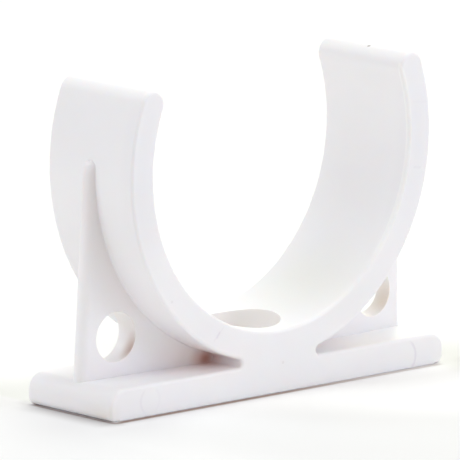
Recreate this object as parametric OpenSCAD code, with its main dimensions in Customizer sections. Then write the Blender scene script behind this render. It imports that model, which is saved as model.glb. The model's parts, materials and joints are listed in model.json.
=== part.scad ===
// Snap-in pipe clip, moulded in one piece of rigid white plastic.
// X runs along the base, Y along the pipe and Z away from the wall.
// The origin is at the middle of the underside, where the screw comes out.

/* [Pipe seat] */
// Outside diameter of the pipe that snaps into the band
pipe_d = 50; // [40:1:63]
// Width of the clip along the pipe
clip_w = 17; // [15:0.5:24]

/* [Band] */
// Thickness of the band
band_t = 4.3; // [3.4:0.1:5.4]
// Height of the band's lowest point above the top of the base
band_rise = 0.2; // [0:0.1:2]
// Angle at the pipe from the bottom of the band to the middle of each round tip
tip_angle = 111.14; // [100:0.02:118]
// Rounding of the edges along the front and back faces, apart from those that meet the wall
edge_r = 0.5; // [0.3:0.05:0.8]

/* [Base] */
// Thickness of the base plate
base_t = 4.5; // [4.2:0.1:5.5]
// How far the base runs out past the foot of each web
toe_l = 1.25; // [1:0.05:6]
// Rounding along the top of each end
end_top_r = 2.4; // [1:0.1:2.7]
// Rounding along the bottom of each end
end_bottom_r = 1.2; // [0.9:0.1:2.5]
// Rounding of the long edges that meet the wall
foot_r = 0.2; // [0.1:0.05:0.25]

/* [Middle] */
// Distance between the round inner ends of the pockets, from centre to centre
pocket_gap = 15.96; // [15:0.02:20]

/* [Webs] */
// How far the foot of each web stands out past the band
web_foot = 2.2; // [1.5:0.1:5]
// Lean of the outer edge of the web towards the band, in degrees
web_lean = 2.5; // [1:0.1:3]
// Height above the pipe's centre at which the domed top of that edge starts
web_top = 0.4; // [0:0.1:3]
// Thickness of the web at its round outer edge
web_edge_t = 2.4; // [1.6:0.1:3]
// Taper of each face of the web, in degrees
web_taper = 3.2; // [0.5:0.1:4]
// Diameter of the round hole in each web
web_hole_d = 7.1; // [4:0.1:8]
// How far the hole sits inwards of the middle of the widest place in the web
web_hole_in = 0.25; // [0:0.05:0.6]

/* [Screw hole] */
// Diameter of the recess for the screw's head
head_d = 11.9; // [10:0.1:13]
// Diameter of the hole for the screw's shank
shank_d = 6.4; // [4:0.1:7]
// Plastic left under the screw's head
head_floor = 4.5; // [3:0.1:6]

/* [Hidden] */
$fn = 96;

// How far a cutter runs past the face that it cuts
past = 1;

seat_r = pipe_d / 2;
middle_r = seat_r + band_t / 2;
outer_r = seat_r + band_t;
rise = outer_r + band_rise;
axis_h = base_t + rise;
foot_x = outer_r + web_foot;
end_x = foot_x + toe_l;

// Round inner end of a pocket: touches the top of the base and the outside of the band
pocket_x = pocket_gap / 2;
pocket_r = (band_rise + pow(pocket_x, 2) / (outer_r + rise)) / 2;

// Circle inscribed between the base, the band and the leaning outer edge of the web
lean_k = (1 + sin(web_lean)) / cos(web_lean);
half_sum = foot_x * lean_k + rise + outer_r;
room = pow(foot_x, 2) + pow(rise, 2) - pow(outer_r, 2);
inscribed_r = (half_sum - sqrt(pow(half_sum, 2) - pow(lean_k, 2) * room)) / pow(lean_k, 2);
hole_x = foot_x - lean_k * inscribed_r - web_hole_in;
hole_z = base_t + inscribed_r;

// Rectangle with every corner rounded alike
module rounded_rectangle(left, right, bottom, top, corner_r) {
    polygon([
        [left + corner_r, bottom], [right - corner_r, bottom],
        [right, bottom + corner_r], [right, top - corner_r],
        [right - corner_r, top], [left + corner_r, top],
        [left, top - corner_r], [left, bottom + corner_r]
    ]);
    for (x = [left + corner_r, right - corner_r])
        for (y = [bottom + corner_r, top - corner_r])
            translate([x, y]) circle(corner_r);
}

// Section as wide as the clip, with its four corners rounded
module clip_section(from, to) {
    rounded_rectangle(from, to, -clip_w / 2, clip_w / 2, edge_r);
}

// Round end: half of a clip-wide section, turned in the front view
module round_end(end_r, start, sweep) {
    rotate([90, 0, 0])
        rotate_extrude(angle = sweep, start = start)
            intersection() {
                clip_section(-end_r, end_r);
                translate([0, -clip_w]) square([end_r, 2 * clip_w]);
            }
}

// Right-hand arm of the band with its round tip
module arm() {
    // Start of the sweep past the middle plane, where the two halves are parted
    past_angle = 5;
    sweep = tip_angle + past_angle;
    translate([0, 0, axis_h])
        rotate([0, 90 - tip_angle, 0]) {
            rotate([90, 0, 0])
                rotate_extrude(angle = sweep, start = -sweep) clip_section(seat_r, outer_r);
            translate([middle_r, 0, 0]) round_end(band_t / 2, 0, 180);
        }
}

// Run of the base as far as given, between two heights of its section
module base_run(to_x, from_z, to_z, corner_r) {
    rotate([90, 0, 90])
        linear_extrude(to_x)
            intersection() {
                rounded_rectangle(-clip_w / 2, clip_w / 2, 0, base_t, corner_r);
                translate([-clip_w, from_z]) square([2 * clip_w, to_z - from_z]);
            }
}

// Right-hand half of the base, with its bull-nosed end
module base() {
    // Least height of the flat that parts the two roundings of the end
    flat_h = 0.1;
    top_x = end_x - end_top_r;
    top_z = base_t - end_top_r;
    bottom_r = min(end_bottom_r, top_z - flat_h);
    bottom_x = end_x - bottom_r;
    half_w = clip_w / 2;
    base_run(top_x, top_z, base_t, edge_r);
    base_run(bottom_x, 0, bottom_r, edge_r);
    translate([0, 0, bottom_r])
        linear_extrude(top_z - bottom_r)
            intersection() {
                clip_section(-end_x, end_x);
                translate([0, -clip_w]) square([end_x, 2 * clip_w]);
            }
    translate([top_x, 0, top_z]) round_end(end_top_r, 0, 90);
    translate([bottom_x, 0, bottom_r]) round_end(bottom_r, -90, 90);
    // The long edges that meet the wall are sharper, as far as a bevel at each corner
    intersection() {
        base_run(bottom_x, 0, edge_r, foot_r);
        linear_extrude(edge_r)
            polygon([
                [0, -half_w], [bottom_x - edge_r, -half_w], [bottom_x, edge_r - half_w],
                [bottom_x, half_w - edge_r], [bottom_x - edge_r, half_w], [0, half_w]
            ]);
    }
}

// Middle: fills the front and back flush between base and band, as far as the pocket's round end
module middle() {
    // The round end is this much larger, so that base and band cut it cleanly
    blend = 0.005;
    inner_r = pocket_r + blend;
    rim_r = inner_r + edge_r;
    half_w = clip_w / 2;
    // Share of the way from the pipe's centre to the pocket's end at which the band is half through
    share = middle_r / (outer_r + pocket_r);
    difference() {
        rotate([90, 0, 0])
            linear_extrude(clip_w, center = true)
                polygon([
                    [0, base_t / 2], [pocket_x, base_t / 2],
                    [pocket_x, base_t + pocket_r],
                    [share * pocket_x, axis_h - share * (rise - pocket_r)],
                    [0, axis_h - middle_r]
                ]);
        translate([pocket_x, 0, base_t + pocket_r])
            rotate([90, 0, 0])
                rotate_extrude()
                    difference() {
                        translate([0, -clip_w]) square([rim_r, 2 * clip_w]);
                        polygon([
                            [inner_r, edge_r - half_w], [rim_r, -half_w],
                            [rim_r + past, -half_w], [rim_r + past, half_w],
                            [rim_r, half_w], [inner_r, half_w - edge_r]
                        ]);
                        for (y = [edge_r - half_w, half_w - edge_r])
                            translate([rim_r, y]) circle(edge_r);
                    }
    }
}

// Right-hand web: its tapered plan raised along the leaning round edge, under a domed top
module web() {
    nose_r = web_edge_t / 2;
    edge_h = (rise + web_top) / cos(web_lean);
    root_half = nose_r + (foot_x - nose_r) * tan(web_taper);
    difference() {
        translate([foot_x, 0, base_t])
            rotate([0, -web_lean, 0]) {
                translate([0, 0, -base_t])
                    linear_extrude(base_t + edge_h) {
                        polygon([
                            [-nose_r, nose_r], [-foot_x, root_half],
                            [-foot_x, -root_half], [-nose_r, -nose_r]
                        ]);
                        translate([-nose_r, 0]) circle(nose_r);
                    }
                translate([-nose_r, 0, edge_h])
                    rotate_extrude()
                        intersection() {
                            circle(nose_r);
                            square(nose_r);
                        }
            }
        translate([0, 0, axis_h])
            rotate([90, 0, 0]) cylinder(r = middle_r, h = clip_w, center = true);
        translate([hole_x, 0, hole_z])
            rotate([90, 0, 0]) cylinder(d = web_hole_d, h = clip_w, center = true);
        translate([-foot_x, -clip_w / 2, -base_t / 2]) cube([3 * foot_x, clip_w, base_t]);
    }
}

// Everything on the right of the middle plane
module right_half() {
    difference() {
        union() {
            arm();
            base();
            middle();
            web();
        }
        translate([-2 * end_x, -clip_w, -past]) cube([2 * end_x, 2 * clip_w, 2 * axis_h]);
    }
}

// Stepped hole straight down through the saddle and the base
module screw_hole() {
    translate([0, 0, -past]) cylinder(d = shank_d, h = head_floor + 2 * past);
    translate([0, 0, head_floor]) cylinder(d = head_d, h = axis_h - head_floor);
}

module pipe_clip() {
    color("white")
        difference() {
            for (side = [0, 1])
                mirror([side, 0, 0]) right_half();
            screw_hole();
        }
}

pipe_clip();
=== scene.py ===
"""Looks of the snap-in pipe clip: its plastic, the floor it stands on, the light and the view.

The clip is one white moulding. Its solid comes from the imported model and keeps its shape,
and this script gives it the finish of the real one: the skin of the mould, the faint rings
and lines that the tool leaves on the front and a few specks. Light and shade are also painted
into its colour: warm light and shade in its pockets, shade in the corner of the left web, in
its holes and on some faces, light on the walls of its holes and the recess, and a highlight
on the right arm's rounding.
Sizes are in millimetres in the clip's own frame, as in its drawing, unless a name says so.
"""

from __future__ import annotations

import json
import logging
import math
from dataclasses import dataclass, field
from enum import Enum
from functools import reduce
from typing import Any, Iterable, Mapping, Optional, Sequence, Union

import bpy
from mathutils import Matrix, Vector

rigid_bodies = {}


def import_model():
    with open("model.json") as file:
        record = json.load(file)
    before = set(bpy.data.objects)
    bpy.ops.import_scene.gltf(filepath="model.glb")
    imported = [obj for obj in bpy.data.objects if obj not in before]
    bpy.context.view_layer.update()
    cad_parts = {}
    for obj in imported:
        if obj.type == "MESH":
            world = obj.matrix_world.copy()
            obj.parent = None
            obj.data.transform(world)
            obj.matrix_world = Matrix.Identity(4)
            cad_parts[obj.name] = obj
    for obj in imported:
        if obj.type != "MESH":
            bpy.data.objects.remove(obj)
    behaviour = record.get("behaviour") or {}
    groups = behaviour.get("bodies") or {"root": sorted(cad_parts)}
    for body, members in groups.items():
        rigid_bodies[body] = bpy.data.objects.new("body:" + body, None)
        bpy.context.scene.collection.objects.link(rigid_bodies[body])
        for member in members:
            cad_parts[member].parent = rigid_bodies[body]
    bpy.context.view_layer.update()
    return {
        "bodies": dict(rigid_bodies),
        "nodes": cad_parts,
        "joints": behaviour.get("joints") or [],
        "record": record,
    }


LOG = logging.getLogger("clip")
MM = 0.001

Colour = tuple[float, float, float]
Point = tuple[float, float, float]
# Where a soft step leaves 0 and where it reaches 1
Ramp = tuple[float, float]


class Side(Enum):
    """Which side of the middle plane something is on."""

    LEFT = -1
    RIGHT = 1


class Signal:
    """One output of a shader tree, worked with like a number."""

    def __init__(self, tree: ShaderTree, socket: bpy.types.NodeSocket) -> None:
        """Keeps the socket and the tree that it belongs to."""
        self.tree = tree
        self.socket = socket

    def _math(self, operation: str, *values: Operand, clamp: bool = False) -> Signal:
        """Adds one Math node.

        Args:
            operation: The node's operation.
            values: Its inputs in order.
            clamp: Whether the result is kept between 0 and 1.

        Returns:
            The node's result.
        """
        settings = {"operation": operation, "use_clamp": clamp}
        made = self.tree.node("ShaderNodeMath", settings, dict(enumerate(values)))
        return self.tree.read(made, 0)

    def __add__(self, other: Operand) -> Signal:
        """self + other."""
        return self._math("ADD", self, other)

    __radd__ = __add__

    def __sub__(self, other: Operand) -> Signal:
        """self - other."""
        return self._math("SUBTRACT", self, other)

    def __rsub__(self, other: Operand) -> Signal:
        """other - self."""
        return self._math("SUBTRACT", other, self)

    def __mul__(self, other: Operand) -> Signal:
        """self * other."""
        return self._math("MULTIPLY", self, other)

    __rmul__ = __mul__

    def __truediv__(self, other: Operand) -> Signal:
        """self / other."""
        return self._math("DIVIDE", self, other)

    def __rtruediv__(self, other: Operand) -> Signal:
        """other / self."""
        return self._math("DIVIDE", other, self)

    def __pow__(self, power: Operand) -> Signal:
        """self ** power."""
        return self._math("POWER", self, power)

    def __abs__(self) -> Signal:
        """abs(self)."""
        return self._math("ABSOLUTE", self)

    def clamped(self) -> Signal:
        """Self kept between 0 and 1."""
        return self._math("ADD", self, 0.0, clamp=True)

    def at_least(self, other: Operand) -> Signal:
        """The larger of the two."""
        return self._math("MAXIMUM", self, other)

    def rise(self, start: float, end: float) -> Signal:
        """A soft step.

        Args:
            start: Where it leaves 0.
            end: Where it reaches 1. It may be the smaller of the two.

        Returns:
            0 before start and 1 past end.
        """
        if end < start:
            return 1 - self.rise(end, start)
        settings = {"interpolation_type": "SMOOTHSTEP", "clamp": True}
        sockets = {"Value": self, "From Min": start, "From Max": end}
        return self.tree.read(self.tree.node("ShaderNodeMapRange", settings, sockets), "Result")

    def fading(self, reach: float) -> Signal:
        """1 where self is 0, down to about a third where it is reach."""
        return self._math("EXPONENT", self / -reach)

    def band(self, middle: float, half: float, soft: float) -> Signal:
        """A stripe round one value.

        Args:
            middle: The value at its middle.
            half: How far its full part reaches to each side.
            soft: How far it fades beyond that.

        Returns:
            1 in the stripe and 0 away from it.
        """
        return abs(self - middle).rise(half + soft, half)


Operand = Union[Signal, int, float]
Value = Union[Signal, int, float, Sequence[float]]
Owner = Union[bpy.types.Material, bpy.types.World]


def strongest(masks: Iterable[Signal]) -> Signal:
    """The largest of some masks, place by place."""
    return reduce(Signal.at_least, masks)


@dataclass(frozen=True)
class Spot:
    """The place that is being shaded: a vector in metres and its parts in millimetres."""

    metres: Signal
    x: Signal
    y: Signal
    z: Signal

    def away(self, centre: Point, reach: Point) -> Signal:
        """How far the place is from a point.

        Args:
            centre: The point.
            reach: What counts as 1 along each axis.

        Returns:
            The distance, in reaches.
        """
        tree, kind = self.metres.tree, "ShaderNodeVectorMath"
        middle = tuple(part * MM for part in centre)
        shift = tree.node(kind, {"operation": "SUBTRACT"}, {0: self.metres, 1: middle})
        unit = tuple(part * MM for part in reach)
        scaled = tree.node(kind, {"operation": "DIVIDE"}, {0: tree.read(shift, 0), 1: unit})
        length = tree.node(kind, {"operation": "LENGTH"}, {0: tree.read(scaled, 0)})
        return tree.read(length, "Value")

    def noise(self, grain: float, detail: float, seed: float) -> Signal:
        """Soft random variation.

        Args:
            grain: About how large its patches are.
            detail: How many finer layers it has.
            seed: Which of its patterns it is.

        Returns:
            A value round 0.5.
        """
        sockets = {"Vector": self.metres, "W": seed, "Scale": 1 / (grain * MM), "Detail": detail}
        tree = self.metres.tree
        made = tree.node("ShaderNodeTexNoise", {"noise_dimensions": "4D"}, sockets)
        return tree.read(made, "Fac")


class ShaderTree:
    """The node tree of one material, or of the world."""

    def __init__(self, owner: Owner, output: str = "ShaderNodeOutputMaterial") -> None:
        """Empties the tree of a material or world.

        Args:
            owner: The material or world.
            output: The type of the node that its tree ends in.
        """
        self.owner = owner
        self.owner.use_nodes = True
        self.tree = self.owner.node_tree
        self.tree.nodes.clear()
        self.output = self.node(output, {}, {})

    def node(
        self,
        kind: str,
        settings: Mapping[str, object],
        sockets: Mapping[Union[str, int], Value],
    ) -> bpy.types.Node:
        """Adds one node.

        Args:
            kind: The node's type.
            settings: Its settings, such as an operation.
            sockets: What each input holds, by name or number: a value or a link.

        Returns:
            The node.
        """
        made = self.tree.nodes.new(kind)
        for name, value in settings.items():
            setattr(made, name, value)
        for name, value in sockets.items():
            if isinstance(value, Signal):
                self.tree.links.new(value.socket, made.inputs[name])
            elif made.inputs[name].type == "RGBA":
                made.inputs[name].default_value = (*value, 1.0)
            else:
                made.inputs[name].default_value = value
        return made

    def read(self, made: bpy.types.Node, name: Union[str, int]) -> Signal:
        """One output of a node."""
        return Signal(self, made.outputs[name])

    def spot(self) -> Spot:
        """Finds where the surface is.

        Returns:
            The place, in the clip's own frame.
        """
        metres = self.read(self.node("ShaderNodeTexCoord", {}, {}), "Object")
        parts = self.node("ShaderNodeSeparateXYZ", {}, {0: metres})
        return Spot(metres, *(self.read(parts, number) * (1 / MM) for number in range(3)))

    def mix(self, share: Value, first: Value, second: Value, blend: str = "MIX") -> Signal:
        """Mixes two colours.

        Args:
            share: How much of the second there is.
            first: The first colour.
            second: The second colour.
            blend: How they are mixed.

        Returns:
            The mixed colour.
        """
        settings = {"data_type": "RGBA", "blend_type": blend, "clamp_factor": True}
        made = self.node("ShaderNodeMix", settings, {0: share, 6: first, 7: second})
        return self.read(made, 2)

    def bump(self, height: Signal, depth: float, normal: Optional[Signal] = None) -> Signal:
        """Bends the normal as a height would.

        Args:
            height: The height, from 0 to 1.
            depth: How much a height of 1 stands for.
            normal: The normal that it starts from, if not the surface's own.

        Returns:
            The bent normal.
        """
        sockets: dict[Union[str, int], Value] = {"Height": height, "Distance": depth * MM}
        if normal is not None:
            sockets["Normal"] = normal
        return self.read(self.node("ShaderNodeBump", {}, sockets), "Normal")

    def seen(self) -> Signal:
        """Tells rays that show a surface from rays that only gather its light.

        Returns:
            1 for a camera, glossy or transmission ray, and 0 for any other.
        """
        path = self.node("ShaderNodeLightPath", {}, {})
        kinds = ("Is Camera Ray", "Is Glossy Ray", "Is Transmission Ray")
        return strongest(self.read(path, kind) for kind in kinds)

    def close(self, shader: bpy.types.Node) -> Owner:
        """Ends the tree in that shader and gives the material or world."""
        self.tree.links.new(shader.outputs[0], self.output.inputs["Surface"])
        return self.owner


@dataclass(frozen=True)
class PinMark:
    """Faint arc on the front face where a pin of the mould pushed the clip out."""

    x: float
    z: float
    ring_r: float
    facing: Side
    strength: float
    line_w: float = 0.2
    # Share of the ring's radius, out to the side that it faces, over which the arc comes in
    turn_in: Ramp = (0.35, 0.8)

    def mask(self, spot: Spot) -> Signal:
        """Finds the arc.

        Args:
            spot: The place that is being shaded.

        Returns:
            How strong the arc is there, from 0 to 1.
        """
        aside, above = spot.x - self.x, spot.z - self.z
        arc = ((aside**2 + above**2) ** 0.5).band(self.ring_r, self.line_w / 2, self.line_w)
        start, end = self.turn_in
        turned = (aside * self.facing.value).rise(start * self.ring_r, end * self.ring_r)
        return arc * turned * self.strength


@dataclass(frozen=True)
class FlowLine:
    """Faint straight line on the front face, left by the mould or by the flow of the plastic."""

    start: tuple[float, float]
    end: tuple[float, float]
    half_w: float
    strength: float
    end_fade: float = 0.3

    def mask(self, spot: Spot) -> Signal:
        """Finds the line.

        Args:
            spot: The place that is being shaded.

        Returns:
            How strong the line is there, from 0 to 1.
        """
        run_x, run_z = (last - first for first, last in zip(self.start, self.end))
        middle_x, middle_z = ((first + last) / 2 for first, last in zip(self.start, self.end))
        length = math.hypot(run_x, run_z)
        along = ((spot.x - middle_x) * run_x + (spot.z - middle_z) * run_z) / length
        across = ((spot.z - middle_z) * run_x - (spot.x - middle_x) * run_z) / length
        stripe = across.band(0.0, self.half_w, self.half_w)
        return stripe * along.band(0.0, length / 2, self.end_fade) * self.strength


@dataclass(frozen=True)
class Speck:
    """Small dark speck in the plastic."""

    place: Point
    radius: float
    strength: float
    # Share of the radius at which the speck starts and at which it is full
    edge: Ramp = (1.0, 0.4)

    def mask(self, spot: Spot) -> Signal:
        """How strong the speck is, from 0 to 1."""
        reach = (self.radius, self.radius, self.radius)
        return spot.away(self.place, reach).rise(*self.edge) * self.strength


@dataclass(frozen=True)
class Patch:
    """Soft patch where the plastic has another tone."""

    place: Point
    reach: Point
    colour: Colour

    def mask(self, spot: Spot) -> Signal:
        """How much of the patch there is, from 0 to 1."""
        return spot.away(self.place, self.reach).rise(1.0, 0.0)


@dataclass(frozen=True)
class WhitePlastic:
    """Rigid white plastic as it comes from the mould: matt with a soft sheen."""

    name: str = "white_plastic"
    colour: Colour = (0.93, 0.92, 0.945)
    cloud_colour: Colour = (0.915, 0.90, 0.915)
    cloud_size: float = 14.0
    cloud_edge: Ramp = (0.35, 0.75)
    # Painted highlight on the right arm's rounding
    rim_highlight_colour: Colour = (0.99, 0.985, 0.985)
    # Painted light, paler and warmer, on the walls of the web holes and of the recess
    painted_wall_light: Colour = (0.98, 0.95, 0.94)
    # Painted shade in the corner between the left web and the band, and how much of it
    crease_shade_tint: Colour = (0.72, 0.66, 0.62)
    crease_shade_share: float = 0.45
    mark_tint: Colour = (0.88, 0.86, 0.90)
    mark_depth: float = 0.03
    speck_colour: Colour = (0.16, 0.10, 0.07)
    roughness: float = 0.42
    grain_spread: float = 0.10
    cloud_spread: float = 0.08
    grain_size: float = 0.5
    grain_depth: float = 0.010
    flow_size: float = 7.0
    flow_depth: float = 0.05
    ior: float = 1.5
    glow: float = 0.35
    glow_reach: Colour = (1.0, 0.75, 0.6)
    glow_depth: float = 0.9


@dataclass
class Clip:
    """The moulding: band, base and two webs in one piece."""

    node: str = "pipe_clip"
    width: float = 17.0
    axis_z: float = 34.0
    seat_r: float = 25.0
    outer_r: float = 29.3
    hole_x: float = 25.33
    hole_z: float = 10.17
    hole_r: float = 3.55
    head_r: float = 5.95
    web_foot_x: float = 31.5
    web_edge_half: float = 1.2
    web_taper_deg: float = 3.2
    # How far into the plastic the marks of the front face are felt
    front_depth: float = 0.1

    # Walls with painted light and shade: past the radius of a web hole and of the recess, and up
    # from the wall
    hole_wall: Ramp = (0.15, 0.02)
    head_wall: Ramp = (0.1, -0.02)
    head_wall_z: Ramp = (0.1, 0.2)

    # Rounding of the right arm, where a highlight is painted: past the seat, in from the front
    # face, and along x
    rim_middle: float = 0.15
    rim_half: float = 0.25
    rim_in: Ramp = (0.8, 0.5)
    rim_x: Ramp = (17.0, 22.0)

    # Corner of the left web, where shade is painted: down the web, beside it, past the band, up,
    # and along x
    crease_fade: float = 2.2
    crease_beside: Ramp = (0.8, 0.1)
    crease_past: Ramp = (0.02, 0.12)
    crease_low_z: Ramp = (10.0, 15.0)
    crease_high_z: Ramp = (36.0, 33.0)
    crease_x: Ramp = (-2.0, -6.0)

    finish: WhitePlastic = field(default_factory=WhitePlastic)
    pins: tuple[PinMark, ...] = (
        PinMark(-25.25, 2.2, 1.8, Side.LEFT, 0.35),
        PinMark(-25.25, 2.2, 1.8, Side.RIGHT, 0.2),
        PinMark(24.7, 1.8, 2.4, Side.RIGHT, 0.7),
    )
    lines: tuple[FlowLine, ...] = (
        FlowLine((-11.3, 10.7), (-13.0, 9.1), 0.06, 0.35),
        FlowLine((-12.0, 10.1), (-12.5, 9.5), 0.10, 0.8),
        FlowLine((26.1, 29.2), (27.3, 29.05), 0.12, 0.3),
        FlowLine((25.7, 38.7), (28.8, 38.35), 0.08, 0.12),
    )
    specks: tuple[Speck, ...] = (
        Speck((24.6, -0.5, 45.8), 0.36, 0.6),
        Speck((0.58, -8.5, 4.23), 0.3, 0.10),
        Speck((-21.3, -8.5, 15.7), 0.3, 0.08),
    )
    # Painted light on the left arm's outer side and in the right pocket, painted warm shade in
    # the left pocket, and painted shade on the seat low on the right
    painted_light_and_shade: tuple[Patch, ...] = (
        Patch((-24.0, -3.0, 14.0), (12.0, 12.0, 15.0), (0.99, 0.965, 0.99)),
        Patch((-12.0, -5.0, 6.0), (11.0, 7.0, 5.5), (1.0, 0.905, 0.89)),
        Patch((15.0, -5.0, 6.0), (11.0, 7.0, 5.5), (1.0, 0.94, 0.935)),
        Patch((13.0, 0.0, 13.0), (15.0, 14.0, 9.0), (0.865, 0.86, 0.835)),
    )
    # Painted shade in the depth of the left pocket and its core, at the base's left end, and on
    # the arms' fronts
    painted_shades: tuple[Patch, ...] = (
        Patch((-9.0, -2.6, 5.1), (3.6, 3.0, 2.2), (0.86, 0.68, 0.63)),
        Patch((-8.7, -2.3, 5.1), (1.6, 1.4, 1.4), (0.74, 0.54, 0.49)),
        Patch((-32.8, -7.0, 0.9), (3.0, 6.0, 2.4), (0.95, 0.93, 0.88)),
        Patch((27.0, -9.0, 30.0), (9.0, 4.0, 26.0), (0.95, 0.955, 0.96)),
        Patch((-27.0, -9.0, 34.0), (7.0, 4.0, 22.0), (0.955, 0.96, 0.965)),
    )
    # Painted shade on the inner side of the left web's hole and on the outer side of the right
    # one's
    painted_wall_shades: tuple[Patch, ...] = (
        Patch((-22.5, -1.5, 8.2), (2.4, 2.0, 3.2), (0.66, 0.54, 0.49)),
        Patch((28.4, -0.6, 8.6), (3.0, 3.5, 4.0), (0.94, 0.88, 0.82)),
    )

    def build(self, frame: Mapping[str, Any]) -> bpy.types.Object:
        """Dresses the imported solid.


        Returns:
            The clip's object.
        """
        piece = frame["nodes"][self.node]
        piece.data.materials.clear()
        piece.data.materials.append(self._plastic())
        return piece

    def _from_axis(self, spot: Spot, radius: float) -> Signal:
        """How far the place is past a radius round the pipe's axis."""
        return (spot.x**2 + (spot.z - self.axis_z) ** 2) ** 0.5 - radius

    def _walls(self, spot: Spot) -> Signal:
        """Finds the walls of the web holes and of the recess for the screw's head, where light
        and shade are painted.

        Args:
            spot: The place that is being shaded.

        Returns:
            1 on those walls and 0 away from them.
        """
        to_hole = ((abs(spot.x) - self.hole_x) ** 2 + (spot.z - self.hole_z) ** 2) ** 0.5
        hole = (to_hole - self.hole_r).rise(*self.hole_wall)
        to_screw = (spot.x**2 + spot.y**2) ** 0.5
        recess = (to_screw - self.head_r).rise(*self.head_wall) * spot.z.rise(*self.head_wall_z)
        return hole.at_least(recess)

    def _rim(self, spot: Spot) -> Signal:
        """Finds the right arm's rounding between the pipe's seat and the front, where a
        highlight is painted.

        Args:
            spot: The place that is being shaded.

        Returns:
            1 on the rounding and 0 away from it.
        """
        inside = self._from_axis(spot, self.seat_r)
        edge = inside.band(self.rim_middle, self.rim_half, self.rim_half)
        return edge * (spot.y + self.width / 2).rise(*self.rim_in) * spot.x.rise(*self.rim_x)

    def _crease(self, spot: Spot) -> Signal:
        """Finds the corner between the left web and the band, where shade is painted.

        Args:
            spot: The place that is being shaded.

        Returns:
            1 in the corner, fading down the web.
        """
        outside = self._from_axis(spot, self.outer_r)
        taper = math.tan(math.radians(self.web_taper_deg))
        web_half = (self.web_foot_x - abs(spot.x)) * taper + self.web_edge_half
        beside = (abs(spot.y) - web_half).rise(*self.crease_beside)
        depth = outside.at_least(0.0).fading(self.crease_fade) * outside.rise(*self.crease_past)
        height = spot.z.rise(*self.crease_low_z) * spot.z.rise(*self.crease_high_z)
        return depth * beside * height * spot.x.rise(*self.crease_x)

    def _marks(self, spot: Spot) -> Signal:
        """Finds the arcs and lines on the front face.

        Args:
            spot: The place that is being shaded.

        Returns:
            How strong they are there, from 0 to 1.
        """
        front = (spot.y + self.width / 2).rise(self.front_depth, 0.0)
        return strongest(mark.mask(spot) for mark in (*self.pins, *self.lines)) * front

    def _colour(self, tree: ShaderTree, spot: Spot, cloud: Signal, marks: Signal) -> Signal:
        """Works out the plastic's colour, with light and shade painted into it.

        Args:
            tree: The material's tree.
            spot: The place that is being shaded.
            cloud: The soft clouding of the plastic.
            marks: How strong the marks on the front face are.

        Returns:
            The colour.
        """
        skin = self.finish
        colour = tree.mix(cloud.rise(*skin.cloud_edge), skin.colour, skin.cloud_colour)
        # Painted light and shade over wide patches
        for tone in self.painted_light_and_shade:
            colour = tree.mix(tone.mask(spot), colour, tone.colour)
        # Painted highlight on the right arm's rounding
        colour = tree.mix(self._rim(spot), colour, skin.rim_highlight_colour)
        walls = self._walls(spot)
        # Painted light, paler and warmer, on the walls of the web holes and of the recess
        colour = tree.mix(walls, colour, skin.painted_wall_light)
        # Painted shade in the corner between the left web and the band
        crease = self._crease(spot) * skin.crease_shade_share
        colour = tree.mix(crease, colour, skin.crease_shade_tint, "MULTIPLY")
        # Painted shade in the pockets, at the base's left end and on the arms' fronts
        for shade in self.painted_shades:
            colour = tree.mix(shade.mask(spot), colour, shade.colour, "MULTIPLY")
        # Painted shade on the walls of the web holes
        for shade in self.painted_wall_shades:
            colour = tree.mix(shade.mask(spot) * walls, colour, shade.colour, "MULTIPLY")
        colour = tree.mix(marks, colour, skin.mark_tint, "MULTIPLY")
        specks = strongest(speck.mask(spot) for speck in self.specks)
        return tree.mix(specks, colour, skin.speck_colour)

    def _plastic(self) -> bpy.types.Material:
        """Makes the clip's material.

        Returns:
            The material.
        """
        skin = self.finish
        tree = ShaderTree(bpy.data.materials.new(skin.name))
        spot = tree.spot()
        cloud = spot.noise(skin.cloud_size, detail=2.0, seed=3.0)
        grain = spot.noise(skin.grain_size, detail=3.0, seed=1.0)
        flow = spot.noise(skin.flow_size, detail=1.0, seed=2.0)
        marks = self._marks(spot)

        normal = tree.bump(flow, skin.flow_depth)
        normal = tree.bump(grain, skin.grain_depth, normal)
        normal = tree.bump(1 - marks, skin.mark_depth, normal)
        rough = skin.roughness + (grain - 0.5) * skin.grain_spread
        sockets = {
            "Base Color": self._colour(tree, spot, cloud, marks),
            "Roughness": rough + (cloud - 0.5) * skin.cloud_spread,
            "Normal": normal,
            "IOR": skin.ior,
            "Subsurface Weight": skin.glow,
            "Subsurface Radius": skin.glow_reach,
            "Subsurface Scale": skin.glow_depth * MM,
        }
        return tree.close(tree.node("ShaderNodeBsdfPrincipled", {}, sockets))


@dataclass(frozen=True)
class FloorSpot:
    """A place on the floor as it lies from the clip's foot.

    The masks are 1 past the foot's left end, beside that end, on the side towards the right,
    and where the clip touches the floor, which it doesn't quite do at its left end.
    """

    x: Signal
    y: Signal
    away: Signal
    past_left: Signal
    beside_left: Signal
    to_right: Signal
    touching: Signal


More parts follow.
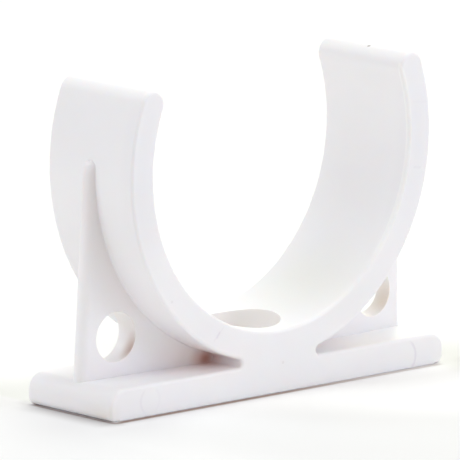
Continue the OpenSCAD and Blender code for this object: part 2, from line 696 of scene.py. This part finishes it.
@dataclass(frozen=True)
class Floor:
    """Plain white floor that the clip stands on, greyer where the clip keeps the light off."""

    radius: float = 4000.0
    corners: int = 96
    foot_half_x: float = 31.55
    foot_half_y: float = 8.3
    colour: Colour = (0.90, 0.90, 0.90)
    seen_colour: Colour = (0.975, 0.97, 0.975)
    # Painted shade on the floor: wide, soft, far, and the contact shadow
    open_shade_tint: Colour = (0.89, 0.89, 0.89)
    shade_tint: Colour = (0.60, 0.58, 0.58)
    contact_shadow_tint: Colour = (0.42, 0.31, 0.27)
    far_shade_tint: Colour = (0.955, 0.965, 0.935)

    # The foot's left end and its lift off the floor, and the way to the right end
    left_soft: float = 1.0
    left_front_y: Ramp = (-11.5, -8.5)
    left_back_y: Ramp = (9.0, 4.0)
    left_lift: Ramp = (0.9, 0.3)
    right_x: Ramp = (-5.0, 28.0)

    # Wide shade in front of the clip and on its left
    open_front_x: Ramp = (-4.0, -26.0)
    open_front_y: Ramp = (-6.0, -14.0)
    open_left_x: Ramp = (-24.0, -44.0)
    open_left_y: Ramp = (20.0, 6.0)
    open_left_share: float = 0.6
    open_overlap: float = 0.5

    # Wide shade in front of the right end, from near the foot to where it ends
    wide_near: Ramp = (1.5, 6.0)
    wide_far: Ramp = (18.0, 8.0)
    wide_y: Ramp = (-6.0, -10.0)
    wide_share: float = 0.2

    # Slight painted shade on the right and behind
    beyond_x: Ramp = (28.0, 33.0)
    beyond_y: Ramp = (6.0, 9.0)
    beyond_far: Ramp = (20.0, 6.0)

    # Soft shade close to the foot, on the left and in front
    soft_left_reach: float = 5.5
    soft_left_power: float = 1.5
    soft_left_share: float = 1.4
    soft_front: Ramp = (3.2, 1.0)
    soft_front_x: Ramp = (25.0, -12.0)
    soft_front_share: float = 0.25

    # Painted contact shadow: a dark line where the clip meets the floor
    line_out: float = 0.62
    line_out_left: float = 0.28
    line_edge: Ramp = (1.0, 0.1)
    line_thinner_left: float = 0.2
    line_paler_left: float = 0.2
    line_paler_right: float = 0.5
    line_y: Ramp = (8.2, 7.0)
    line_x: Ramp = (32.5, 30.5)

    def build(self) -> bpy.types.Object:
        """Makes the floor, a disc just under the clip.

        Returns:
            The floor's object.
        """
        mesh = bpy.data.meshes.new("floor")
        turns = [2 * math.pi * step / self.corners for step in range(self.corners)]
        reach = self.radius * MM
        rim = [(reach * math.cos(turn), reach * math.sin(turn), 0.0) for turn in turns]
        mesh.from_pydata(rim, [], [list(range(self.corners))])
        mesh.materials.append(self._white())
        floor = bpy.data.objects.new("floor", mesh)
        bpy.context.scene.collection.objects.link(floor)
        return floor

    def _from_foot(self, spot: Spot) -> FloorSpot:
        """Finds how a place lies from the clip's foot.

        Args:
            spot: The place that is being shaded.

        Returns:
            The same place from the foot.
        """
        x, y = spot.x, spot.y
        beside = (abs(x) - self.foot_half_x).at_least(0.0)
        ahead = (abs(y) - self.foot_half_y).at_least(0.0)
        away = (beside**2 + ahead**2) ** 0.5
        past_left = x.rise(self.left_soft - self.foot_half_x, -self.left_soft - self.foot_half_x)
        beside_left = past_left * y.rise(*self.left_front_y) * y.rise(*self.left_back_y)
        touching = 1 - beside_left * away.rise(*self.left_lift)
        return FloorSpot(x, y, away, past_left, beside_left, x.rise(*self.right_x), touching)

    def _open(self, at: FloorSpot) -> Signal:
        """Finds the wide shade in front of the clip and on its left.

        Args:
            at: The place, from the foot.

        Returns:
            How much of the shade there is, from 0 to 1.
        """
        left = at.x.rise(*self.open_left_x)
        front = (at.x - at.away).rise(*self.open_front_x) * at.y.rise(*self.open_front_y)
        aside = left * at.y.rise(*self.open_left_y) * self.open_left_share
        return (front * (1 - left * self.open_overlap)).at_least(aside)

    def _wide(self, at: FloorSpot) -> Signal:
        """Wide shade in front of the right end."""
        ring = at.away.rise(*self.wide_near) * at.away.rise(*self.wide_far)
        return at.to_right * ring * at.y.rise(*self.wide_y) * self.wide_share

    def _beyond(self, at: FloorSpot) -> Signal:
        """Slight painted shade on the right and behind."""
        sides = at.x.rise(*self.beyond_x).at_least(at.y.rise(*self.beyond_y))
        return sides * at.away.rise(*self.beyond_far) * (1 - at.past_left)

    def _soft_left(self, at: FloorSpot) -> Signal:
        """Soft shade beside the left end."""
        near = (1 - at.away / self.soft_left_reach).at_least(0.0) ** self.soft_left_power
        return (near * at.beside_left * at.touching * self.soft_left_share).clamped()

    def _soft_front(self, at: FloorSpot) -> Signal:
        """Soft shade close in front of the foot."""
        near = at.away.rise(*self.soft_front) * (1 - at.beside_left)
        return near * at.x.rise(*self.soft_front_x) * self.soft_front_share

    def _contact(self, at: FloorSpot) -> Signal:
        """Finds the painted contact shadow, a dark line where the clip meets the floor.

        Args:
            at: The place, from the foot.

        Returns:
            How dark the line is there, from 0 to 1.
        """
        middle = at.beside_left * self.line_out_left + self.line_out
        off_line = abs(at.away - middle) + at.beside_left * self.line_thinner_left
        line = off_line.rise(*self.line_edge) * (1 - at.to_right * self.line_paler_right)
        line = line * (1 - at.beside_left * self.line_paler_left) * at.touching
        return line * at.y.rise(*self.line_y) * at.x.rise(*self.line_x)

    def _white(self) -> bpy.types.Material:
        """Makes the floor's material: matt white, with soft shade close to the clip's foot.

        Returns:
            The material.
        """
        tree = ShaderTree(bpy.data.materials.new("floor_white"))
        at = self._from_foot(tree.spot())
        layers = (
            (self._open(at), self.open_shade_tint),
            (self._wide(at), self.shade_tint),
            (self._beyond(at), self.far_shade_tint),
            (self._soft_left(at), self.shade_tint),
            (self._soft_front(at), self.shade_tint),
            (self._contact(at), self.contact_shadow_tint),
        )
        white: Value = self.seen_colour
        for share, tint in layers:
            white = tree.mix(share, white, tint, "MULTIPLY")
        sockets = {"Color": tree.mix(tree.seen(), self.colour, white), "Roughness": 0.0}
        return tree.close(tree.node("ShaderNodeBsdfDiffuse", {}, sockets))


def direction(azimuth_deg: float, elevation_deg: float) -> Vector:
    """Finds which way something lies from the clip.

    Args:
        azimuth_deg: Its turn about Z, from the front.
        elevation_deg: Its height above the floor.

    Returns:
        The direction from the clip towards it, of length 1.
    """
    turn, lift = math.radians(azimuth_deg), math.radians(elevation_deg)
    level = math.cos(lift)
    return Vector((math.sin(turn) * level, -math.cos(turn) * level, math.sin(lift)))


@dataclass(frozen=True)
class Lamp:
    """One soft round lamp, aimed at the middle of the clip."""

    name: str
    azimuth_deg: float
    elevation_deg: float
    power_w: float
    colour: Colour
    distance: float = 1200.0
    size: float = 700.0
    aim_z: float = 20.0

    def build(self) -> bpy.types.Object:
        """Makes the lamp.

        Returns:
            The lamp's object.
        """
        light = bpy.data.lights.new(self.name, "AREA")
        light.shape = "DISK"
        light.size = self.size * MM
        light.energy = self.power_w
        light.color = self.colour
        lamp = bpy.data.objects.new(self.name, light)
        back = direction(self.azimuth_deg, self.elevation_deg)
        lamp.rotation_euler = back.to_track_quat("Z", "Y").to_euler()
        lamp.location = back * self.distance * MM + Vector((0.0, 0.0, self.aim_z * MM))
        bpy.context.scene.collection.objects.link(lamp)
        return lamp


@dataclass(frozen=True)
class Studio:
    """The room's light: an even surround, white where it is seen, and a few soft lamps."""

    surround: Colour = (1.0, 0.93, 0.86)
    surround_level: float = 0.385
    seen_white: Colour = (1.0, 1.0, 1.0)
    lamps: tuple[Lamp, ...] = (
        Lamp("lamp_left", -120.0, 48.0, 4.30, (0.83, 0.915, 1.0)),
        Lamp("lamp_left_low", -90.0, 20.0, 1.18, (0.93, 0.86, 1.0)),
        Lamp("lamp_top", 120.0, 72.0, 4.85, (0.955, 1.0, 0.94)),
        Lamp("lamp_front_low", 30.0, 20.0, 3.55, (0.75, 0.785, 1.0)),
        Lamp("lamp_front", 30.0, 48.0, 2.71, (0.95, 1.0, 0.92)),
        Lamp("lamp_right_low", 120.0, 20.0, 2.40, (1.0, 0.96, 0.72)),
    )

    def build(self) -> list[bpy.types.Object]:
        """Makes the surround and the lamps.

        Returns:
            The lamps' objects.
        """
        world = bpy.data.worlds.new("surround")
        bpy.context.scene.world = world
        tree = ShaderTree(world, "ShaderNodeOutputWorld")
        kind = "ShaderNodeBackground"
        room = tree.node(kind, {}, {"Color": self.surround, "Strength": self.surround_level})
        white = tree.node(kind, {}, {"Color": self.seen_white, "Strength": 1.0})
        sockets = {0: tree.seen(), 1: tree.read(room, 0), 2: tree.read(white, 0)}
        tree.close(tree.node("ShaderNodeMixShader", {}, sockets))
        return [lamp.build() for lamp in self.lamps]


@dataclass(frozen=True)
class PhotoCamera:
    """The photograph's view, in its own frame of 460 by 460 pixels."""

    azimuth_deg: float = -44.268
    elevation_deg: float = 10.817
    roll_deg: float = 0.884
    distance: float = 1363.10
    focal_px: float = 9632.03
    aim_right: float = -1.4076
    aim_up: float = 21.633
    frame_px: int = 460
    sensor: float = 36.0
    clip_start: float = 50.0
    clip_end: float = 20000.0

    def build(self) -> bpy.types.Object:
        """Makes the camera and has the scene use it.

        Returns:
            The camera's object.
        """
        roll = math.radians(self.roll_deg)
        back = direction(self.azimuth_deg, self.elevation_deg)
        level_right = (-back).cross(Vector((0.0, 0.0, 1.0))).normalized()
        level_up = level_right.cross(-back)
        right = math.cos(roll) * level_right + math.sin(roll) * level_up
        up = math.cos(roll) * level_up - math.sin(roll) * level_right
        aim = self.aim_right * level_right + self.aim_up * level_up
        place = (aim + self.distance * back) * MM

        lens = bpy.data.cameras.new("photo_camera")
        lens.sensor_width = self.sensor
        lens.lens = self.focal_px / self.frame_px * self.sensor
        lens.clip_start = self.clip_start * MM
        lens.clip_end = self.clip_end * MM
        camera = bpy.data.objects.new("photo_camera", lens)
        turned = Matrix((right, up, back)).transposed().to_4x4()
        camera.matrix_world = Matrix.Translation(place) @ turned
        bpy.context.scene.collection.objects.link(camera)
        bpy.context.scene.camera = camera
        return camera


def main() -> None:
    """Builds the camera, the clip, the floor and the light in order."""
    logging.basicConfig(level=logging.INFO, format="%(name)s: %(message)s")
    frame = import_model()
    bpy.context.scene.view_settings.view_transform = "Standard"

    camera = PhotoCamera().build()
    LOG.info("%s set", camera.name)
    piece = Clip().build(frame)
    LOG.info("%s dressed, %d faces", piece.name, len(piece.data.polygons))
    floor = Floor().build()
    LOG.info("%s laid", floor.name)
    lamps = Studio().build()
    LOG.info("%d lamps set", len(lamps))


if __name__ == "__main__":
    main()
